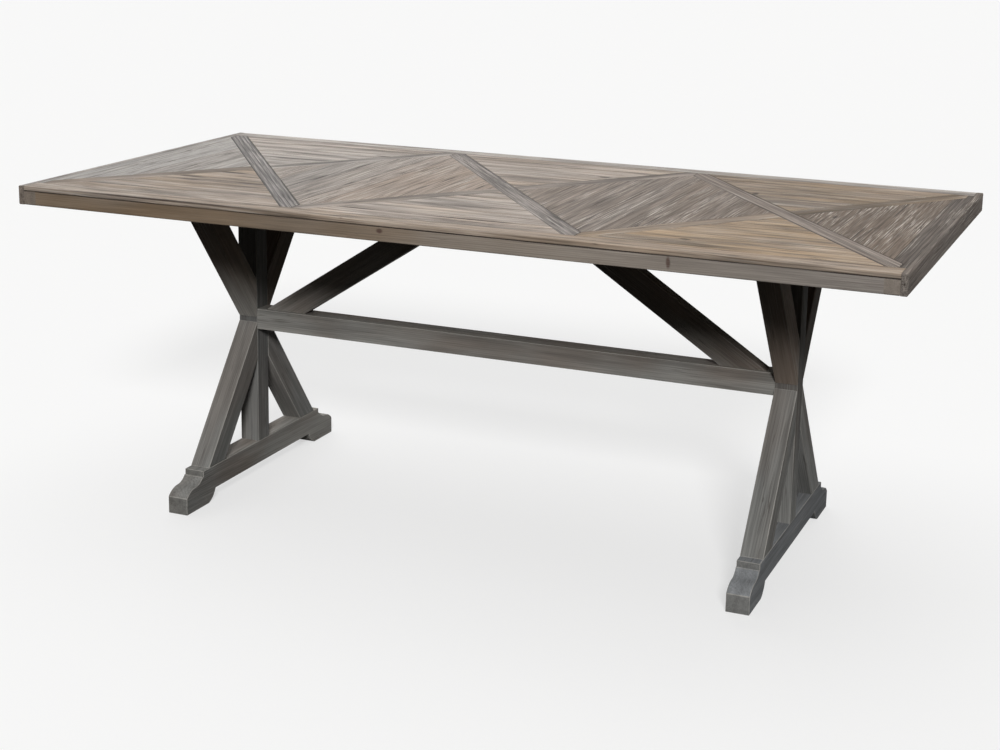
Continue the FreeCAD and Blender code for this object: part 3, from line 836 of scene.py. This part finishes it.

# %% [markdown]
# ## Diagonal bands
#
# Each field is crossed by one whole band and two half bands that meet it at the middle. They run on to
# the middle of the spines. Dirt draws a dark line down one or both sides of each whole band, and the
# first one also opened in three long cracks. The half bands are hard to tell from the boards beside
# them: they wear the same finish, with a broad soft painted shadow, as of a shallow step, along the
# side towards the left.

# %% Bands
FIELDS = (1, 2, 3)
HALVES = ("near", "far")
BAND_EDGE = 1.8 * MM
BAND_TONES = {1: 0.61, 2: 0.66, 3: 0.72}  # for each field
BAND_WARMTHS = {1: -0.45, 2: -0.2, 3: 0.9}
BAND_CRACKS = {1: (3, 14, 24, 34, 42), 2: (41,), 3: (3, 42)}  # from the left side, in mm
LEFT_WEAR = {1: 1.0, 2: 0.3, 3: 0.7}  # how dark the left arris is beside the right one
HALF_BAND_EDGE = 0.5 * MM
HALF_BAND_SHADE = 0.86  # its tone beside the boards of its triangle
# a broad soft painted shadow along a half band's left side, as darkness at distances in mm from that
# side
HALF_BAND_PAINTED_SHADOW = ((0.0, 0.3), (11.0, 0.6), (24.0, 0.45), (42.0, 0.0))
TRIANGLE_TONES = {  # in the first, second and third field; partly the boards' own shade, partly painted light, lighter towards the far left and darker towards the right
    "near": (0.74, 0.95, 0.9),
    "far": (0.93, 0.84, 0.61),
    "left": (0.88, 0.93, 0.54),
    "right": (0.77, 0.59, 0.47),
}
# negative warmths grey the wood; on the left of the top this grey stands partly for painted sheen
TRIANGLE_WARMTHS = {
    "near": (0.08, -0.1, 0.58),
    "far": (-0.35, -0.05, 0.52),
    "left": (-0.6, 0.2, 0.4),
    "right": (-0.3, 0.0, 0.95),
}


def left_side(along):
    """The sideways direction of a board, the one that points to the table's left end."""
    sideways = Vector((0, 0, 1)).cross(along)
    return -sideways if sideways.x > 0 else sideways


def fade_arris(bm, outward, share):
    """Leaves only this share of the wear on the arrises of the half that lies outward."""
    arris = bm.faces.layers.float["arris"]
    middle = middle_of(bm)
    for face in bm.faces:
        if (face.calc_center_median() - middle).dot(outward) > 0:
            face[arris] *= share


for field in FIELDS:
    node = f"band_{field}_long"
    bm = merged(node)
    along = longest_direction(bm)
    wear(bm, long_arrises(bm, SHORT_EDGE), BAND_EDGE)
    fade_arris(bm, left_side(along), LEFT_WEAR[field])
    lay_dirt_and_shade(bm, left_side(along), crack_profile(BAND_CRACKS[field]))
    lay_grain(bm, along, BAND_TONES[field], BAND_WARMTHS[field])
    finished(bm, node + "_timber", cracked_pine, node)
    for half in HALVES:
        node = f"band_{field}_{half}"
        bm = merged(node)
        along = longest_direction(bm)
        wear(bm, long_arrises(bm, ANY_EDGE), HALF_BAND_EDGE)
        # paints the soft shadow along the half band's left side
        lay_dirt_and_shade(bm, left_side(along), HALF_BAND_PAINTED_SHADOW)
        tone = HALF_BAND_SHADE * TRIANGLE_TONES[half][field - 1]
        lay_grain(bm, along, tone, TRIANGLE_WARMTHS[half][field - 1])
        finished(bm, node + "_timber", warm_pine, node)
print("whole bands:", len(FIELDS), "half bands:", len(FIELDS) * len(HALVES))

# %% [markdown]
# ## Boarded triangles
#
# Between the bands lie triangles of boards. In the two at the long sides the boards run along the
# table, in the two at the ends they run across. Each board starts as a box as wide as the triangle's
# base and is cut by the two sides of the triangle, as the saw cuts it. A tip too small to hold a nail
# is cut in one with the board below it.

# %% Triangles
BOARD_WIDTH = 86 * MM
LONG_BASE_BOARD = 65 * MM
CROSS_BASE_BOARD = 88 * MM
SMALLEST_TIP = 0.25  # as a share of a board
BOARD_EDGE = 0.6 * MM


def triangle_of(node, side):
    """The base corners and the tip of a boarded triangle, on its top face."""
    low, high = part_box(node)
    middle = (low + high) / 2
    top = high.z
    if side in ("near", "far"):
        base_y, tip_y = (low.y, high.y) if side == "near" else (high.y, low.y)
        return (
            Vector((low.x, base_y, top)),
            Vector((high.x, base_y, top)),
            Vector((middle.x, tip_y, top)),
        )
    base_x, tip_x = (low.x, high.x) if side == "left" else (high.x, low.x)
    return (
        Vector((base_x, low.y, top)),
        Vector((base_x, high.y, top)),
        Vector((tip_x, middle.y, top)),
    )


def board_stops(depth, base_board):
    """Where the boards begin and end, measured from the base to the tip."""
    joints = math.ceil((depth - base_board) / BOARD_WIDTH - SMALLEST_TIP)
    return [0.0] + [base_board + BOARD_WIDTH * row for row in range(joints)] + [depth]


def sawn_board(node, first, second, tip, start, end):
    """One board of a triangle, between two distances from its base."""
    low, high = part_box(node)
    along = (second - first).normalized()
    foot = first + along * (tip - first).dot(along)
    inward = (tip - foot).normalized()
    bm = bmesh.new()
    bmesh.ops.create_cube(bm, size=1.0)
    length = (second - first).length
    plan = [abs(along[axis]) * length + abs(inward[axis]) * (end - start) for axis in (0, 1)]
    scale = Vector([*plan, high.z - low.z])
    centre = foot + inward * (start + end) / 2
    centre = centre + along * ((first + second) / 2 - foot).dot(along)
    centre.z = (low.z + high.z) / 2
    bmesh.ops.scale(bm, verts=bm.verts, vec=scale)
    bmesh.ops.translate(bm, verts=bm.verts, vec=centre)
    for corner in (first, second):
        slope = tip - corner
        outward = Vector((slope.y, -slope.x, 0)).normalized()
        if outward.dot(foot - corner) > 0:
            outward.negate()
        cut = bmesh.ops.bisect_plane(
            bm,
            geom=bm.verts[:] + bm.edges[:] + bm.faces[:],
            plane_co=corner,
            plane_no=outward,
            clear_outer=True,
            dist=SAME_PLACE,
        )
        edges = [item for item in cut["geom_cut"] if isinstance(item, bmesh.types.BMEdge)]
        bmesh.ops.holes_fill(bm, edges=edges)
    bmesh.ops.dissolve_limit(
        bm, angle_limit=FLAT_BELOW, verts=bm.verts, edges=bm.edges, delimit=set()
    )
    bmesh.ops.recalc_face_normals(bm, faces=bm.faces)
    return bm, along


def boarded_triangle(field, side):
    """All the boards of one triangle, as one piece."""
    node = f"boards_{field}_{side}"
    first, second, tip = triangle_of(node, side)
    lengthwise = side in ("near", "far")
    base_board = LONG_BASE_BOARD if lengthwise else CROSS_BASE_BOARD
    foot = (first + second) / 2
    stops = board_stops((tip - foot).length, base_board)
    whole = bmesh.new()
    for start, end in zip(stops, stops[1:]):
        bm, along = sawn_board(node, first, second, tip, start, end)
        wear(bm, long_arrises(bm, ANY_EDGE), BOARD_EDGE)
        lay_grain(bm, along, TRIANGLE_TONES[side][field - 1], TRIANGLE_WARMTHS[side][field - 1])
        board = bpy.data.meshes.new("board")
        bm.to_mesh(board)
        bm.free()
        whole.from_mesh(board)
        bpy.data.meshes.remove(board)
    material = warm_pine if lengthwise else streaked_pine
    finished(whole, node + "_timber", material, node)
    return len(stops) - 1


boards = sum(
    boarded_triangle(field, side) for field in FIELDS for side in ("near", "far", "left", "right")
)
print("boards in the triangles:", boards)

# %% [markdown]
# ## Lippings
#
# Four lippings hide the blockboard's edges. The two at the ends run through to the front, where their
# end grain shows as a small block in each corner. The front one was cut from a board with a brown side
# and a grey one, so its colour changes along the table.

# %% Lippings
LIPPING_EDGE = 2.0 * MM
LIPPING_TONES = {"front": (0.92, 1.14), "back": 1.0, "left": 0.8, "right": 1.05}
LIPPING_WARMTHS = {"front": (0.6, -0.5), "back": 0.0, "left": 0.5, "right": -0.2}


def level_arrises(bm, shortest):
    """The sharp edges that lie level, but not the upright ones at a lipping's corners."""
    return [
        edge
        for edge in long_arrises(bm, shortest)
        if edge.verts[0].co.z == edge.verts[1].co.z
    ]


for end, tone in LIPPING_TONES.items():
    worn_piece(
        f"lipping_{end}",
        lipping_pine,
        "lippings",
        LIPPING_EDGE,
        shortest=LIPPING_EDGE,
        arrises=level_arrises,
        tone=tone,
        warmth=LIPPING_WARMTHS[end],
    )
print("lippings:", len(LIPPING_TONES))

# %% [markdown]
# ## Trestles, stretcher and braces
#
# The base is heavier timber, stained dark. Its long edges are rubbed pale where the stain wore off.
# Up under the top, where the top shades them, the legs, posts and braces get painted shade: their
# tone falls to nearly black towards their upper ends, the upper legs turn browner there, and their pale
# arrises are kept faint. The right foot took the colder grey of the stain. A foot's edge follows its
# moulded ends, so there every edge that lies in a side face or crosses from one to the other is
# rounded.

# %% Base
BASE_EDGE = 1.6 * MM
FOOT_EDGE = 1.2 * MM
TOUCHING = 0.01 * MM
POST_LONG_EDGE = 60 * MM  # shorter edges are those of a stick's ends, which stayed sharp
RAIL_LONG_EDGE = 58 * MM
CLEAT_LONG_EDGE = 80 * MM
# painted shade under the top: the upper legs turn browner towards the rail, and their pale arrises are
# kept faint
UPPER_LEG_PAINTED_SHADE = {"warmth": (0.35, 1.0), "strength": 0.3}
LEGS = {  # a pair of tones or warmths runs from the waist up to the rail: painted shade, darkest under the top
    "upper_front": {"tone": (1.85, 0.5), **UPPER_LEG_PAINTED_SHADE},
    "upper_back": {"tone": (0.95, 0.3), **UPPER_LEG_PAINTED_SHADE},
    "lower_front": {"tone": 0.9},
    "lower_back": {"tone": 1.12},
}
POST_PAINTED_SHADE = {"tone": (1.0, 0.35), "strength": 0.4}  # from its foot up to the rail: painted shade, darkest under the top, with its pale arrises kept faint
BRACE_PAINTED_SHADE = {"left": (1.35, 0.3), "right": (0.25, 1.15)}  # from its left end to its right end: painted shade, darkest at the upper end under the top
BRACE = {"warmth": 0.4, "strength": 0.5}
STRETCHER = {"tone": 1.22, "warmth": 0.2}
FOOT_TONES = {"left": (0.9, 1.5), "right": (1.15, 0.75)}  # from the front to the back
FOOT_WARMTHS = {"left": (0.0, 0.2), "right": -0.55}


def foot_arrises(bm, low, high):
    """The sharp edges of a foot that lie in its side faces or cross it from side to side."""
    chosen = []
    for edge in long_arrises(bm, ANY_EDGE):
        xs = [vert.co.x for vert in edge.verts]
        in_left_face = all(abs(x - low.x) < TOUCHING for x in xs)
        in_right_face = all(abs(x - high.x) < TOUCHING for x in xs)
        crossing = abs(abs(xs[0] - xs[1]) - (high.x - low.x)) < TOUCHING
        if in_left_face or in_right_face or crossing:
            chosen.append(edge)
    return chosen


for end in ("left", "right"):
    for leg, wear_and_colour in LEGS.items():
        worn_piece(f"leg_{end}_{leg}", base_pine, "base_timber", BASE_EDGE, **wear_and_colour)
    worn_piece(f"post_{end}", base_pine, "base_timber", BASE_EDGE, POST_LONG_EDGE, **POST_PAINTED_SHADE)
    tone = BRACE_PAINTED_SHADE[end]
    worn_piece(f"brace_{end}", base_pine, "base_timber", BASE_EDGE, tone=tone, **BRACE)
    node = f"foot_{end}"
    bm = merged(node)
    along = longest_direction(bm)
    wear(bm, foot_arrises(bm, *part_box(node)), FOOT_EDGE)
    lay_grain(bm, along, FOOT_TONES[end], FOOT_WARMTHS[end])
    finished(bm, node + "_timber", base_pine, node)
    worn_piece(f"rail_{end}", rail_pine, "rails", JOINT_EDGE, RAIL_LONG_EDGE)
    print(end, "trestle:", len(LEGS), "legs, a post, a brace, a foot and a rail")
worn_piece("stretcher", base_pine, "base_timber", BASE_EDGE, POST_LONG_EDGE, **STRETCHER)
worn_piece("middle_cleat", rail_pine, "rails", JOINT_EDGE, CLEAT_LONG_EDGE)
print("between the trestles: a stretcher and a cleat")

# %% [markdown]
# ## Floor and light
#
# The table stands on a plain pale floor. Three suns light it. A very broad one stands high behind its
# left end and brightens the top. A narrower one comes from the front right, and it reaches the front
# edge and the lower legs but not what the top hides. A weak one low behind the table puts a soft sheen
# on the top, as a window would. The floor is white to the eye and dark grey to the light that it
# throws back, so that it doesn't brighten the table from below. The room is pale to the eye in the
# same way.

# %% Floor and light
WHITE = (1, 1, 1, 1)
FLOOR_SEEN = linear("#f7f7f6")
FLOOR_BOUNCE = linear("#383837")
FLOOR_SIZE = 80.0
FLOOR_GAP = 0.3 * MM  # keeps the feet's undersides from lying in the floor's own plane
SHADOW_FADE = 0.6  # how far the eye sees the floor as plain white under the shadow
ROOM_LIGHT = 0.06
ROOM_SEEN = 0.95


def to_the_eye(tree):
    """1 where a ray is one that the eye or a reflection sees, and 0 where it only brings light."""
    seen = 0.0
    for ray in ("Is Camera Ray", "Is Glossy Ray", "Is Transmission Ray"):
        seen = add(tree, "Math", (seen, add(tree, "LightPath", output=ray)), **PLUS, use_clamp=True)
    return seen


def pale_floor():
    """A matt floor that looks white and bounces little light."""
    material, tree = new_material("matt_white_floor")
    seen = to_the_eye(tree)
    colours = {SHARE: seen, UNDER: FLOOR_BOUNCE, OVER: FLOOR_SEEN}
    matt = add(tree, "BsdfDiffuse", (add(tree, "Mix", colours, **COLOUR),))
    bright = add(tree, "Emission", {"Color": WHITE, "Strength": 1.0})
    share = add(tree, "Math", (seen, SHADOW_FADE), **TIMES)
    add(tree, "OutputMaterial", (add(tree, "MixShader", (share, matt, bright)),))
    return material


bm = bmesh.new()
bmesh.ops.create_grid(bm, x_segments=1, y_segments=1, size=FLOOR_SIZE / 2)
bmesh.ops.translate(bm, verts=bm.verts, vec=(0, 0, -FLOOR_GAP))
mesh = bpy.data.meshes.new("floor")
bm.to_mesh(mesh)
bm.free()
mesh.materials.append(pale_floor())
floor = bpy.data.objects.new("floor", mesh)
bpy.context.scene.collection.objects.link(floor)
floor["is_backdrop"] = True

SUNS = {  # where each shines from, its strength, and its spread in degrees
    "overhead_sun": ((-0.55, 0.5, 1.6), 1.65, 90),
    "front_sun": ((0.37, -0.79, 0.5), 2.2, 12),
    "window_sun": ((-0.9, 1.5, 0.55), 0.3, 30),
}
for name, (from_place, strength, spread) in SUNS.items():
    sun = bpy.data.objects.new(name, bpy.data.lights.new(name, "SUN"))
    sun.data.energy = strength
    sun.data.angle = math.radians(spread)
    sun.rotation_euler = Vector(from_place).to_track_quat("Z", "Y").to_euler()
    bpy.context.scene.collection.objects.link(sun)

world = bpy.data.worlds.new("soft_room")
bpy.context.scene.world = world
world.use_nodes = True
world.node_tree.nodes.clear()
seen = to_the_eye(world.node_tree)
brightness = add(world.node_tree, "MapRange", (seen, 0.0, 1.0, ROOM_LIGHT, ROOM_SEEN))
room = add(world.node_tree, "Background", (WHITE, brightness))
add(world.node_tree, "OutputWorld", (room,))
bpy.context.scene.view_settings.view_transform = "Standard"
print("floor and", len(SUNS), "suns ready")

# %% Finish
print("visual box:", corners())
